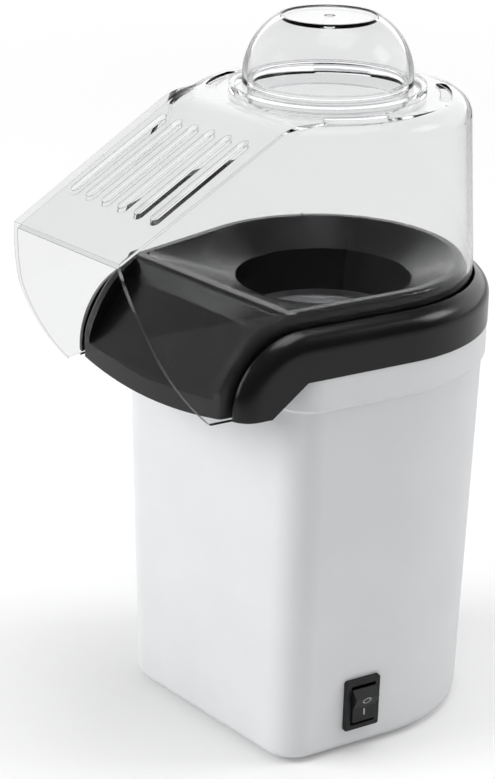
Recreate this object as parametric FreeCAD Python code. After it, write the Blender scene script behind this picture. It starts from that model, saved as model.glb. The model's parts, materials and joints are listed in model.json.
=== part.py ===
import FreeCAD, Part
import math
import os
from FreeCAD import Vector

# Hot-air popcorn maker. Sizes are millimetres, angles are degrees.
# X is the width, -Y the front with the chute, Z the height above the table.
# Pieces are made about the popping chamber's axis and moved to the frame on export.

# Clearances
fit_gap = 0.3
hood_gap = 0.4
run_gap = 0.05
screw_gap = 0.1
slip_gap = 0.2

# Reach of cutting shapes past a face, and overlap of shapes that are joined
overcut = 1.0
bite = 0.5
cutter_reach = 10.0
sharp = 1.0
far = 200.0
tiny = 0.01

# White body
body_radius = 56.5
body_front = 56.3
body_corner = 13.3
side_taper = 9.5
body_draft = 1.66
body_wall = 2.5
body_bottom = 1.3
body_foot_round = 4.0
body_ledge = 3.0
body_ledge_width = 6.0
band_bottom = 144.0
band_step = 1.5
band_flare = 5.4
band_front_extra = 1.3

# Black bezel around the top
bezel_lip = 0.3
bezel_wall = 5.6
bezel_bottom = 155.5
bezel_top = 173.6
bezel_edge_round = 8.0
bezel_ledge_top = 163.2
bezel_ledge_thick = 3.0
bezel_ledge_inner = 49.0
bezel_skirt_thick = 2.0
bezel_skirt_depth = 6.0
bezel_skirt_front = 40.0
bezel_floor = 2.0
deck_lug_radius = 5.0
shoulder_back = 52.0
shoulder_reach = 28.0
shoulder_bottom = 144.6
shoulder_cut_top = 54.0
shoulder_cut_foot = 68.0

# Black deck with funnel and chute
deck_rim_top = 178.2
deck_rim_wall = 4.2
deck_hole_radius = 33.0
deck_hole_top = 169.9
deck_skirt_wall = 2.5
deck_floor = 2.8
deck_boss_radius = 3.4
deck_screw_bite = 6.0
deck_screw_circle = 45.0
deck_screw_angles = (25, 90, 155)
deck_crest = 53.5
deck_crest_flat = 3.5
deck_bow_start = 2.0
deck_crest_corner = 8.0
deck_front = 83.6
deck_front_bow = 2.0
deck_side_bow = 6.0
deck_front_corner = 6.0
deck_foot = 144.4
chute_wall = 2.5
chute_back_wall = 3.5
chute_foot_gap = 3.0
lip_thick = 4.5
chute_lip_top = 149.0
chute_lip_sag = 3.4
chute_drop = 7.5
chute_floor_back = 60.0
crest_round = 2.5
crest_foot_round = 2.0
lip_round = 2.5
rim_round = 1.8

# Clear hood
hood_foot_flare = 0.6
hood_lean = 3.3
hood_wall = 2.0
hood_knee_rise = 1.8
hood_top_round = 8.0
hood_fold_round = 24.0
hood_fold_start = 1.0
hood_front = 117.2
hood_panel_back = 46.4
hood_panel_rise = 25.0
hood_panel_drop = 35.6
hood_panel_corner = 4.64
hood_panel_taper = 2.5
hood_front_foot = 87.8
hood_front_bow = 5.6
hood_overrun = 20.0
hood_slot_count = 6
hood_slot_pitch = 9.1
hood_slot_width = 3.8
hood_slot_back = 58.7
hood_slot_front = 96.0
hood_hole_radius = 29.6
hood_collar_outer = 36.0
hood_collar_height = 3.0
hood_vent_radius = 43.0
hood_vent_width = 4.0
hood_vent_angles = (-62, 62, -140, 140)
hood_vent_sweep = 26.0

# Clear measuring cup, standing upside down on the hood
cup_radius = 31.2
cup_stand = 5.0
cup_height = 22.4
cup_dome_round = 25.4
cup_wall = 1.8
cup_recess_edge = 0.8
cup_recess = 0.3
cup_dimple_radius = 2.0
cup_dimple = 0.4
cup_skirt_depth = 8.0

# Popping chamber and heater
chamber_bottom = 100.0
chamber_top = 150.0
chamber_wall = 0.8
chamber_flange = 42.5
chamber_hump = 8.0
chamber_hump_radius = 8.0
chamber_gutter = 8.0
chamber_round = 3.0
louvre_count = 18
louvre_height = 9.0
louvre_width = 1.6
louvre_rise = 5.0
gasket_thick = 2.4
gasket_inset = 1.0
heater_radius = 42.5
heater_wall = 0.8
heater_flange = 3.6
heater_bottom = 86.0
mica_thick = 1.0
mica_height = 11.0
mica_rise = 1.0
coil_inner = 16.0
coil_wire = 0.6
coil_pitch = 5.0
coil_half_turns = 6
coil_layers = (89.0, 95.0)
thermostat_radius = 7.5
thermostat_length = 6.0
thermostat_angle = 60.0
thermostat_height = 118.0
thermostat_blade = (5.0, 0.8, 4.0)
thermostat_blade_offset = 4.0
fuse_radius = 2.0
fuse_length = 12.0
fuse_angle = 120.0

# Fan and motor
fan_bottom = 52.0
fan_plate = 2.5
fan_wall_radius = 41.0
fan_wall = 2.5
fan_flange = 48.5
fan_inlet = 24.0
impeller_radius = 33.0
impeller_bottom = 57.0
impeller_top = 70.0
impeller_plate = 1.5
impeller_hub = 5.0
blade_count = 11
blade_thick = 1.2
blade_curve = 20.0
blade_shift = (17.0, -15.0)
blade_inner = 11.0
blade_inset = 0.5
shaft_radius = 1.15
shaft_bottom = 18.6
shaft_top = 69.0
motor_radius = 16.0
motor_bottom = 20.0
motor_top = 46.0
motor_wall = 1.2
end_cap_thick = 2.5
bush_radius = 4.0
bush_length = 3.0
bush_proud = 0.5
end_cap_floor = 0.8
magnet_thick = 3.2
magnet_length = 18.0
magnet_arc = 120.0
armature_radius = 10.8
armature_length = 16.0
armature_slots = 5
armature_slot_width = 2.2
armature_slot_depth = 4.0
bracket_thick = 2.0
bracket_disc = 18.0
bracket_arm = 8.0
bracket_screw_circle = 30.0
bracket_angles = (90, 210, 330)
board_radius = 14.0
board_thick = 1.5
diode_radius = 1.3
diode_length = 5.0
diode_count = 4
diode_pitch = 4.0

# Base
plate_thick = 2.5
column_radius = 4.0
column_circle = 44.0
column_angles = (65, 115, -55, -125)
column_hole_depth = 9.0
foot_radius = 5.5
foot_stem = 2.0
foot_stem_proud = 1.0
foot_back_side = 24.5
foot_back_inset = 29.5
foot_front_side = 23.5
foot_front_reach = 38.0
intake_slots = 7
intake_pitch = 7.0
intake_width = 3.5
intake_length = 44.0
intake_reach = 31.4
base_post_radius = 4.0
base_post_height = 18.0
base_post_inset = 8.0
base_post_front = 8.8
web_thick = 2.5
screw_radius = 1.3
screw_head = 2.6
screw_head_thick = 1.8
screw_recess = 1.2
base_screw_length = 14.0
housing_screw_length = 9.0
clamp_screw_length = 9.0

# Rocker switch in the right side wall
switch_back = -24.1
switch_height = 20.5
switch_width = 15.0
switch_tall = 21.0
switch_bezel = 2.0
switch_body_width = 12.8
switch_body_tall = 18.8
switch_depth = 12.0
switch_floor = 2.2
switch_corner = 1.0
switch_edge_round = 0.6
switch_pin_wall = 0.3
rocker_width = 10.0
rocker_radius = 8.0
rocker_vee = 10.0
rocker_tilt = 12.0
rocker_pivot = 1.5
rocker_face_rise = 1.0
rocker_end_angle = 16.0
rocker_foot_half = 3.0
rocker_foot_drop = 3.5
rocker_pin = 1.0
terminal_width = 4.8
terminal_thick = 0.8
terminal_length = 8.0
terminal_offset = 5.0

# Cord inlet at the back, with its clamp
inlet_height = 20.0
inlet_flange = 7.0
inlet_flange_thick = 2.0
inlet_neck = 5.0
inlet_hole = 3.4
inlet_length = 14.0
inlet_face_gap = 0.4
inlet_nut_gap = 0.8
clamp_back = 40.0
clamp_half = 7.5
clamp_post = 3.0
clamp_bar = (21.0, 6.0, 3.0)
clamp_height = 12.5

# Derived sizes
taper = math.radians(side_taper)
draft = math.tan(math.radians(body_draft))
band_radius = body_radius + band_flare
bezel_radius = band_radius + bezel_lip
bezel_inner = bezel_radius - bezel_wall
hood_foot_radius = bezel_inner - hood_gap
hood_knee_radius = hood_foot_radius - hood_foot_flare
hood_top_radius = hood_knee_radius - hood_lean
hood_knee = deck_rim_top + hood_knee_rise
hood_panel_front_top = hood_knee + hood_panel_rise
hood_top = hood_panel_front_top + hood_panel_drop
hood_panel_half_back = math.sqrt((hood_top_radius + hood_panel_corner) ** 2 - hood_panel_back ** 2)
hood_panel_half_front = hood_panel_half_back - hood_panel_taper
panel_slope = hood_panel_drop / (hood_front - hood_panel_back)
foot_back_x = body_radius - foot_back_side
foot_back_y = body_radius - foot_back_inset
foot_front_x = body_radius - foot_front_side
back_feet = [(side * foot_back_x, foot_back_y) for side in (1, -1)]
front_feet = [(side * foot_front_x, -foot_front_reach) for side in (1, -1)]
feet = back_feet + front_feet
cup_foot = hood_top + cup_stand
cup_top = cup_foot + cup_height
deck_radius = hood_knee_radius - hood_wall - hood_gap
base_post_side = body_radius - body_wall - base_post_inset
base_posts = ((base_post_side, 0), (-base_post_side, 0), (0, -body_front + body_wall + base_post_front))
chamber_radius = deck_hole_radius - slip_gap
deck_skirt_bottom = chamber_top + chamber_wall + gasket_thick
plate_bottom = body_bottom + body_ledge - plate_thick
plate_top = body_bottom + body_ledge
fold_start = math.radians(hood_fold_start)
up = Vector(0, 0, 1)


def polar(radius, angle, z=0.0):
    turn = math.radians(angle)
    return Vector(radius * math.cos(turn), radius * math.sin(turn), z)


def body_radius_at(z):
    return body_radius + (z - body_bottom) * draft


def side_x(radius, y):
    return (radius + y * math.sin(taper)) / math.cos(taper)


def line(start, end):
    return Part.LineSegment(start, end).toShape()


def arc(start, middle, end):
    return Part.Arc(start, middle, end).toShape()


def cylinder(radius, z_low, z_high, x=0.0, y=0.0):
    return Part.makeCylinder(radius, z_high - z_low, Vector(x, y, z_low), up)


def tube(outer, inner, z_low, z_high, x=0.0, y=0.0):
    return cylinder(outer, z_low, z_high, x, y).cut(cylinder(inner, z_low - overcut, z_high + overcut, x, y))


def box(width, depth, height, centre):
    corner = Vector(centre.x - width / 2, centre.y - depth / 2, centre.z - height / 2)
    return Part.makeBox(width, depth, height, corner)


def turned(shape, angle):
    copy = shape.copy()
    copy.rotate(Vector(0, 0, 0), up, angle)
    return copy


def moved(shape, x=0.0, y=0.0, z=0.0):
    copy = shape.copy()
    copy.translate(Vector(x, y, z))
    return copy


def joined(shapes):
    return shapes[0].fuse(shapes[1:]).removeSplitter()


def group(shapes):
    return Part.makeCompound(shapes)


def in_side_view(u, v):
    return Vector(0, u, v)


def in_section(u, v):
    return Vector(u, 0, v)


def rounded_loop(corners, place):
    # Closed wire through corners given as (u, v, rounding radius).
    points = [Vector(u, v, 0) for u, v, _ in corners]
    count = len(corners)
    entries = []
    for index, (_, _, radius) in enumerate(corners):
        point = points[index]
        if radius == 0:
            entries.append((point, None, point))
            continue
        back = (points[index - 1] - point).normalize()
        ahead = (points[(index + 1) % count] - point).normalize()
        half = back.getAngle(ahead) / 2
        reach = radius / math.tan(half)
        middle = (back + ahead).normalize() * (radius / math.sin(half) - radius)
        entries.append((point + back * reach, point + middle, point + ahead * reach))
    edges = []
    for index, (start, middle, end) in enumerate(entries):
        if middle is not None:
            edges.append(arc(place(start.x, start.y), place(middle.x, middle.y), place(end.x, end.y)))
        following = entries[(index + 1) % count][0]
        if (following - end).Length > 1e-6:
            edges.append(line(place(end.x, end.y), place(following.x, following.y)))
    return Part.Wire(edges)


def side_prism(wire, half_width=far):
    face = Part.Face(wire)
    face.translate(Vector(-half_width, 0, 0))
    return face.extrude(Vector(2 * half_width, 0, 0))


def turned_solid(corners):
    face = Part.Face(rounded_loop(corners, in_section))
    return face.revolve(Vector(0, 0, 0), up, 360)


def outline_points(radius, front, corner):
    # Right half of the plan: tangent point, start and end of the front corner.
    tangent = Vector(radius * math.cos(taper), -radius * math.sin(taper), 0)
    centre_y = corner - front
    centre_x = (radius - corner + centre_y * math.sin(taper)) / math.cos(taper)
    normal = Vector(math.cos(taper), -math.sin(taper), 0)
    corner_start = Vector(centre_x, centre_y, 0) + normal * corner
    corner_end = Vector(centre_x, -front, 0)
    turn = (-taper - math.pi / 2) / 2
    corner_middle = Vector(centre_x + corner * math.cos(turn), centre_y + corner * math.sin(turn), 0)
    return tangent, corner_start, corner_middle, corner_end


def mirrored(point):
    return Vector(-point.x, point.y, point.z)


def outline(radius, front, corner, z):
    # Plan outline: round back, sides turning in, flat front with round corners.
    tangent, start, middle, end = outline_points(radius, front, corner)
    edges = [
        arc(tangent, Vector(0, radius, 0), mirrored(tangent)),
        line(mirrored(tangent), mirrored(start)),
        arc(mirrored(start), mirrored(middle), mirrored(end)),
        line(mirrored(end), end),
        arc(end, middle, start),
        line(start, tangent),
    ]
    wire = Part.Wire(edges)
    wire.translate(Vector(0, 0, z))
    return wire


def prism(radius, front, corner, z_low, z_high):
    return Part.Face(outline(radius, front, corner, z_low)).extrude(Vector(0, 0, z_high - z_low))


def open_prism(radius, z_low, z_high):
    # The plan outline with its front far ahead.
    return prism(radius, far, sharp, z_low, z_high)


def open_room(radius):
    # Cutter for everything inside the plan outline.
    return prism(radius, 1.2 * far, sharp, 0, far)


def screw_hole(x, y, z_low, z_high):
    return cylinder(screw_radius + screw_gap, z_low, z_high, x, y)


def behind(y):
    return box(2 * far, far, 2 * far, Vector(0, y + far / 2, far / 2))


def screw(x, y, head_z, length, pointing_up):
    # Round-headed screw, its head's bearing face at head_z.
    if pointing_up:
        shank = cylinder(screw_radius, head_z - bite, head_z + length, x, y)
        head = cylinder(screw_head, head_z - screw_head_thick, head_z, x, y)
    else:
        shank = cylinder(screw_radius, head_z - length, head_z + bite, x, y)
        head = cylinder(screw_head, head_z, head_z + screw_head_thick, x, y)
    return joined([head, shank])


def body_solid(inset, z_low, z_high):
    low = outline(body_radius_at(z_low) - inset, body_front - inset, body_corner - inset, z_low)
    high = outline(body_radius_at(z_high) - inset, body_front - inset, body_corner - inset, z_high)
    return Part.makeLoft([low, high], True, True)


def switch_place():
    # Frame on the right wall: X along the wall, Y up it, Z out of it.
    lean = math.radians(body_draft)
    out = Vector(math.cos(taper) * math.cos(lean), -math.sin(taper) * math.cos(lean), -math.sin(lean))
    along = Vector(math.sin(taper), math.cos(taper), 0)
    upward = out.cross(along)
    turn = FreeCAD.Rotation(along, upward, out, "ZXY")
    x = side_x(body_radius_at(switch_height), switch_back)
    return FreeCAD.Placement(Vector(x, switch_back, switch_height), turn)


def on_wall(shape):
    placed = shape.copy()
    placed.Placement = switch_place().multiply(placed.Placement)
    return placed


def post_web(x, y):
    # Rib from a screw post out to the wall beside it.
    middle = plate_top + base_post_height / 2
    if x == 0:
        length = body_front + y
        rib = box(web_thick, length, base_post_height, Vector(0, y - length / 2, middle))
    else:
        length = body_radius - abs(x)
        rib = box(length, web_thick, base_post_height, Vector(x + math.copysign(length / 2, x), y, middle))
    return rib.common(body_solid(body_wall / 2, body_bottom, band_bottom))


def body_outer():
    # Tapered body with a rounded foot, and the stepped band under the bezel.
    outer = body_solid(0, body_bottom, band_bottom)
    foot_edges = [e for e in outer.Edges if e.BoundBox.ZMax < body_bottom + tiny]
    outer = outer.makeFillet(body_foot_round, foot_edges)
    band_front = body_front + band_front_extra
    step_bottom = band_bottom - band_step
    step_low = outline(body_radius_at(step_bottom), body_front, body_corner, step_bottom)
    step_high = outline(band_radius, band_front, body_corner, band_bottom)
    step = Part.makeLoft([step_low, step_high], True, True)
    band = prism(band_radius, band_front, body_corner, band_bottom, bezel_bottom)
    return joined([outer, step, band])


def body_shell():
    inside = body_solid(body_wall, plate_top, bezel_bottom + overcut)
    mouth_inset = body_ledge_width
    mouth = prism(body_radius - mouth_inset, body_front - mouth_inset, body_corner - mouth_inset,
                  body_bottom - overcut, plate_top + overcut)
    shell = body_outer().cut(inside).cut(mouth)
    post_top = plate_top + base_post_height
    posts = [cylinder(base_post_radius, plate_top, post_top, x, y) for x, y in base_posts]
    webs = [post_web(x, y) for x, y in base_posts]
    shell = joined([shell] + posts + webs)
    for x, y in base_posts:
        shell = shell.cut(screw_hole(x, y, plate_top - overcut, post_top + overcut))
    window = box(switch_body_width + fit_gap, switch_body_tall + fit_gap, switch_depth, Vector(0, 0, 0))
    out = Vector(0, 1, 0)
    inlet_start = Vector(0, body_radius - cutter_reach, inlet_height)
    inlet = Part.makeCylinder(inlet_neck + slip_gap, 2 * cutter_reach, inlet_start, out)
    return shell.cut(on_wall(window)).cut(inlet).cut(side_prism(front_clearance()))


def front_clearance():
    # Room for the chute's foot, in side view: ahead of the slanted front end of the bezel's foot.
    gap = fit_gap
    return rounded_loop([
        (-shoulder_cut_top, bezel_bottom + far, 0),
        (-shoulder_cut_top, bezel_bottom - gap, 0),
        (-shoulder_cut_foot, shoulder_bottom - gap, 0),
        (-far, shoulder_bottom - gap, 0),
        (-far, bezel_bottom + far, 0),
    ], in_side_view)


def shoulder_side_view():
    # Side view of the bezel: level top, round front, slanted foot.
    top_arc_end = Vector(0, -shoulder_back - shoulder_reach, bezel_top - shoulder_reach)
    turn = math.sqrt(0.5) * shoulder_reach
    middle = Vector(0, -shoulder_back - turn, bezel_top - shoulder_reach + turn)
    points = [
        Vector(0, -shoulder_back - shoulder_reach, shoulder_bottom),
        Vector(0, -shoulder_cut_foot, shoulder_bottom),
        Vector(0, -shoulder_cut_top, bezel_bottom),
        Vector(0, far, bezel_bottom),
        Vector(0, far, bezel_top),
        Vector(0, -shoulder_back, bezel_top),
    ]
    edges = [line(a, b) for a, b in zip(points, points[1:])]
    edges.append(arc(points[-1], middle, top_arc_end))
    if (top_arc_end - points[0]).Length > 1e-6:
        edges.append(line(top_arc_end, points[0]))
    return Part.Wire(edges)


def bezel_ring():
    # Rounded outer wall of the bezel, open inside.
    blank = side_prism(shoulder_side_view()).common(open_prism(bezel_radius, 0, far))
    rim_edges = [e for e in blank.Edges if is_bezel_rim(e)]
    return blank.makeFillet(bezel_edge_round, rim_edges).cut(open_room(bezel_inner))


def top_bezel():
    ledge_bottom = bezel_ledge_top - bezel_ledge_thick
    ledge = open_prism(bezel_inner + overcut, ledge_bottom, bezel_ledge_top)
    ledge = ledge.cut(open_room(bezel_ledge_inner)).common(behind(-shoulder_back))
    skirt_outer = min(band_radius, body_radius_at(bezel_bottom)) - body_wall - fit_gap
    skirt_room = open_room(skirt_outer - bezel_skirt_thick)
    skirt = open_prism(skirt_outer, bezel_bottom - bezel_skirt_depth, bezel_bottom + overcut)
    skirt = skirt.cut(skirt_room).common(behind(-bezel_skirt_front))
    floor = open_prism(bezel_radius - overcut, bezel_bottom, bezel_bottom + bezel_floor)
    floor = floor.cut(skirt_room).common(behind(-shoulder_back))
    inner_wall = open_prism(bezel_inner + overcut, bezel_bottom, bezel_ledge_top)
    inner_wall = inner_wall.cut(open_room(bezel_inner - bezel_skirt_thick)).common(behind(-shoulder_back))
    lugs = [cylinder(deck_lug_radius, ledge_bottom, bezel_ledge_top, p.x, p.y) for p in deck_screw_points()]
    bezel = joined([bezel_ring(), ledge, skirt, floor, inner_wall] + lugs)
    for p in deck_screw_points():
        bezel = bezel.cut(screw_hole(p.x, p.y, 0, far))
    return bezel


def is_bezel_rim(edge):
    # The edges where the outer wall meets the level top and the round front.
    middle = edge.valueAt((edge.FirstParameter + edge.LastParameter) / 2)
    rise = middle.z - bezel_top + shoulder_reach
    level = abs(rise - shoulder_reach) < tiny
    bowed = abs(math.hypot(middle.y + shoulder_back, rise) - shoulder_reach) < tiny
    return (level or bowed) and is_outer(middle)


def is_outer(point):
    # True on the sides and the back, false on the middle line at the front.
    return abs(point.x) > overcut or point.y > 0


def deck_screw_points():
    return [polar(deck_screw_circle, angle) for angle in deck_screw_angles]


def matched_circle(radius, front, corner, plan_radius, z):
    # Circle split at the directions of the plan outline's corners.
    tangent, start, _, end = outline_points(plan_radius, front, corner)
    stops = [tangent, mirrored(tangent), mirrored(start), mirrored(end), end, start, tangent]
    angles = [math.degrees(math.atan2(p.y, p.x)) for p in stops]
    edges = []
    for first, last in zip(angles, angles[1:]):
        while last < first:
            last += 360
        middle = polar(radius, (first + last) / 2, z)
        edges.append(arc(polar(radius, first, z), middle, polar(radius, last, z)))
    return Part.Wire(edges)


def funnel_room(drop):
    # The space above the funnel's face, lowered by drop.
    plan = deck_radius - deck_rim_wall + slip_gap
    hole = matched_circle(deck_hole_radius, deck_crest, deck_crest_corner, plan, deck_hole_top - drop)
    brim = outline(plan, deck_crest, deck_crest_corner, deck_rim_top - drop)
    above = outline(plan, deck_crest, deck_crest_corner, deck_rim_top + cutter_reach)
    return Part.makeLoft([hole, brim, above], True, True)


def chute_strip():
    # Side view of the crest, the chute's floor, the lip and the closed underside.
    back = deck_crest
    crest_front = back + deck_crest_flat
    floor_top = deck_rim_top - chute_drop
    inner_front = deck_front - lip_thick
    foot = deck_foot - chute_lip_sag
    foot_back = body_front + chute_foot_gap
    return rounded_loop([
        (-back + overcut, deck_rim_top, 0),
        (-crest_front, deck_rim_top, crest_round),
        (-chute_floor_back, floor_top, crest_foot_round),
        (-deck_front, chute_lip_top, lip_round),
        (-deck_front, foot, 0),
        (-inner_front, foot, 0),
        (-inner_front, deck_foot, 0),
        (-foot_back, deck_foot, 0),
        (-foot_back, deck_foot + chute_wall, 0),
        (-inner_front, deck_foot + chute_wall, 0),
        (-chute_floor_back, floor_top - chute_back_wall, 0),
        (-back + overcut, deck_rim_top - deck_floor - overcut, 0),
    ], in_side_view)


def bowed_radius(half_width, sagitta):
    return (half_width ** 2 + sagitta ** 2) / (2 * sagitta)


def lip_bows():
    # Room inside the lip's forward bow and inside its sag.
    half = side_x(deck_radius, -deck_front)
    forward = bowed_radius(half, deck_front_bow)
    sag = bowed_radius(half, chute_lip_sag)
    ahead = cylinder(forward, 0, far, 0, forward - deck_front)
    low = deck_foot - chute_lip_sag
    below = Part.makeCylinder(sag, 2 * far, Vector(0, -far, low + sag), Vector(0, 1, 0))
    return ahead.common(below)


def deck_side_view():
    # Side view that trims the deck's walls: level rim, then a bow down to the lip.
    rim_end = Vector(0, -deck_crest - deck_bow_start, deck_rim_top)
    low = Vector(0, -deck_front, chute_lip_top - lip_round)
    chord = low - rim_end
    middle = (rim_end + low) * 0.5 + Vector(0, chord.z, -chord.y).normalize() * deck_side_bow
    foot_back = -body_front - chute_foot_gap
    points = [
        low,
        Vector(0, -deck_front, deck_foot - chute_lip_sag),
        Vector(0, foot_back, deck_foot - chute_lip_sag),
        Vector(0, foot_back, bezel_ledge_top),
        Vector(0, far, bezel_ledge_top),
        Vector(0, far, deck_rim_top),
        rim_end,
    ]
    edges = [line(a, b) for a, b in zip(points, points[1:])]
    edges.append(arc(rim_end, middle, low))
    return Part.Wire(edges)


def deck_walls(block):
    # Side walls and back rim with a rounded top edge.
    inner = open_room(deck_radius - deck_rim_wall)
    raw = block.common(side_prism(deck_side_view()))
    top_edges = [e for e in raw.Edges if is_deck_rim(e)]
    return raw.makeFillet(rim_round, top_edges).cut(inner)


def is_deck_rim(edge):
    # The edges where the outer wall meets the level rim or its bow.
    middle = edge.valueAt((edge.FirstParameter + edge.LastParameter) / 2)
    level = abs(middle.z - deck_rim_top) < tiny
    above_lip = edge.BoundBox.ZMin > chute_lip_top - lip_round - bite
    bowed = above_lip and edge.BoundBox.ZLength > (deck_rim_top - chute_lip_top) / 2
    return (level or bowed) and is_outer(middle)


def deck():
    block = prism(deck_radius, deck_front, deck_front_corner, 0, far)
    walls = deck_walls(block)
    room = funnel_room(0)
    plate = funnel_room(deck_floor).cut(room)
    plate = plate.common(cylinder(far, 0, deck_rim_top))
    hole = cylinder(deck_hole_radius, 0, far)
    strip = side_prism(chute_strip()).common(block)
    front = joined([walls, strip]).common(lip_bows())
    skirt = cylinder(deck_hole_radius + deck_skirt_wall, deck_skirt_bottom, deck_hole_top)
    bosses = [cylinder(deck_boss_radius, bezel_ledge_top, deck_rim_top, p.x, p.y).cut(room)
              for p in deck_screw_points()]
    solid = joined([front, plate, skirt] + bosses).cut(hole)
    for p in deck_screw_points():
        solid = solid.cut(screw_hole(p.x, p.y, 0, bezel_ledge_top + deck_screw_bite + bite))
    return solid


def hood_outline(z, radius, side_points, bowed):
    # Closed plan wire: round back, then each side through its points to the front.
    start = Vector(radius * math.cos(taper), -radius * math.sin(taper), 0)
    right = [start] + side_points
    left = [mirrored(p) for p in right]
    edges = [arc(right[0], Vector(0, radius, 0), left[0])]
    if bowed:
        middle = (left[0] + left[1]).normalize() * radius
        edges.append(arc(left[0], middle, left[1]))
    else:
        edges.append(line(left[0], left[1]))
    edges += [line(left[1], left[2]), line(left[2], left[3]), line(left[3], right[3])]
    edges += [line(right[3], right[2]), line(right[2], right[1])]
    edges.append(mirror_edge(edges[1]))
    wire = Part.Wire(Part.sortEdges(edges)[0])
    wire.translate(Vector(0, 0, z))
    return wire


def mirror_edge(edge):
    return edge.mirror(Vector(0, 0, 0), Vector(1, 0, 0))


def meeting(normal_a, reach_a, normal_b, reach_b):
    # Point that lies reach_a along normal_a and reach_b along normal_b.
    det = normal_a.x * normal_b.y - normal_a.y * normal_b.x
    x = (reach_a * normal_b.y - reach_b * normal_a.y) / det
    y = (normal_a.x * reach_b - normal_b.x * reach_a) / det
    return Vector(x, y, 0)


def hood_top_points(inset):
    # Right half of the top plan: where the round ends, the panel's corner, the far front.
    knee_x = side_x(hood_knee_radius, -hood_front)
    share = (hood_panel_front_top - hood_knee) / (hood_top - hood_knee)
    top_front_x = knee_x - (knee_x - hood_panel_half_front) / share
    corner = Vector(hood_panel_half_back, -hood_panel_back, 0)
    ahead = (Vector(top_front_x, -hood_front, 0) - corner).normalize()
    edge_normal = Vector(-ahead.y, ahead.x, 0)
    corner_turn = math.atan2(corner.y, corner.x)
    round_end = corner_turn + math.acos(hood_top_radius / corner.Length)
    round_normal = Vector(math.cos(round_end), math.sin(round_end), 0)
    edge_reach = edge_normal.dot(corner) - inset
    round_reach = hood_top_radius - inset
    new_corner = meeting(round_normal, round_reach, edge_normal, edge_reach)
    front_y = -hood_front - hood_overrun
    front = Vector((edge_reach - edge_normal.y * front_y) / edge_normal.x, front_y, 0)
    return [round_normal * round_reach, new_corner, front]


def hood_block(inset):
    # The hood's outer form, or its inside when inset by the wall.
    top_points = hood_top_points(inset)
    wires = []
    for z, radius in ((deck_foot, hood_foot_radius), (hood_knee, hood_knee_radius)):
        side_points = [Vector(side_x(radius - inset, p.y), p.y, 0) for p in top_points]
        wires.append(hood_outline(z, radius - inset, side_points, False))
    wires.append(hood_outline(hood_top - inset, hood_top_radius - inset, top_points, True))
    block = Part.makeLoft(wires, True, True)
    top_edges = [e for e in block.Edges if e.BoundBox.ZMin > hood_top - inset - tiny]
    top_edges = [e for e in top_edges if e.BoundBox.YMax > -hood_panel_back + overcut]
    block = block.makeFillet(hood_top_round - inset, top_edges)
    return block.cut(side_prism(panel_room(inset)))


def panel_room(inset):
    # Side view of what lies above the sloping panel and its rounded fold with the flat top.
    fold = hood_fold_round - inset
    turn = math.atan(panel_slope)
    centre = Vector(0, -hood_panel_back + hood_fold_round * math.tan(turn / 2), hood_top - hood_fold_round)
    flat_end = centre + Vector(0, -math.sin(fold_start) * fold, math.cos(fold_start) * fold)
    middle = centre + Vector(0, -math.sin(turn / 2) * fold, math.cos(turn / 2) * fold)
    slope_start = centre + Vector(0, -math.sin(turn) * fold, math.cos(turn) * fold)
    slope_end = slope_start + Vector(0, -far, -far * panel_slope)
    points = [
        slope_start,
        slope_end,
        Vector(0, slope_end.y, 2 * far),
        Vector(0, flat_end.y, 2 * far),
        flat_end,
    ]
    edges = [line(a, b) for a, b in zip(points, points[1:])]
    edges.append(arc(flat_end, middle, slope_start))
    return Part.Wire(edges)


def hood_front_room():
    # Side view of what lies ahead of the hood's bowed front edge.
    top = Vector(0, -hood_front, hood_panel_front_top)
    foot = Vector(0, -hood_front_foot, deck_foot)
    chord = foot - top
    bow = Vector(0, chord.z, -chord.y).normalize() * hood_front_bow
    points = [
        foot,
        Vector(0, -hood_front_foot, 0),
        Vector(0, -far, 0),
        Vector(0, -far, 2 * far),
        Vector(0, -hood_front, 2 * far),
        top,
    ]
    edges = [line(a, b) for a, b in zip(points, points[1:])]
    edges.append(arc(top, (top + foot) * 0.5 + bow, foot))
    return Part.Wire(edges)


def hood_seat_room():
    # Side view of what lies under the hood's lower edge.
    reach = bezel_ledge_top - deck_foot
    turn = math.sqrt(0.5) * reach
    level = Vector(0, -shoulder_back, bezel_ledge_top)
    low = Vector(0, -shoulder_back - reach, deck_foot)
    points = [
        low,
        Vector(0, -shoulder_back - reach, 0),
        Vector(0, far, 0),
        Vector(0, far, bezel_ledge_top),
        level,
    ]
    edges = [line(a, b) for a, b in zip(points, points[1:])]
    edges.append(arc(level, Vector(0, -shoulder_back - turn, deck_foot + turn), low))
    return Part.Wire(edges)


def panel_slot(x):
    # Round-ended slot through the sloping panel.
    half = hood_slot_width / 2
    middle_y = -(hood_slot_front + hood_slot_back) / 2
    bar = box(hood_slot_width, hood_slot_front - hood_slot_back, far, Vector(x, middle_y, 0))
    ends = [cylinder(half, -far / 2, far / 2, x, -y) for y in (hood_slot_back, hood_slot_front)]
    slot = joined([bar] + ends)
    slot.translate(Vector(0, 0, hood_top))
    return slot.common(cylinder(far, hood_knee + cutter_reach, hood_top + cutter_reach))


def arc_slot(angle):
    # Curved slot through the top, angle measured from the front.
    half = hood_vent_width / 2
    low = hood_top - cutter_reach
    high = hood_top + cutter_reach
    ring = tube(hood_vent_radius + half, hood_vent_radius - half, low, high)
    wedge = Part.makeCylinder(far, high - low, Vector(0, 0, low), up, hood_vent_sweep)
    slot = ring.common(turned(wedge, angle - 90 - hood_vent_sweep / 2))
    ends = [polar(hood_vent_radius, angle - 90 + side * hood_vent_sweep / 2) for side in (-1, 1)]
    rounds = [cylinder(half, low, high, p.x, p.y) for p in ends]
    return joined([slot] + rounds)


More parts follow.
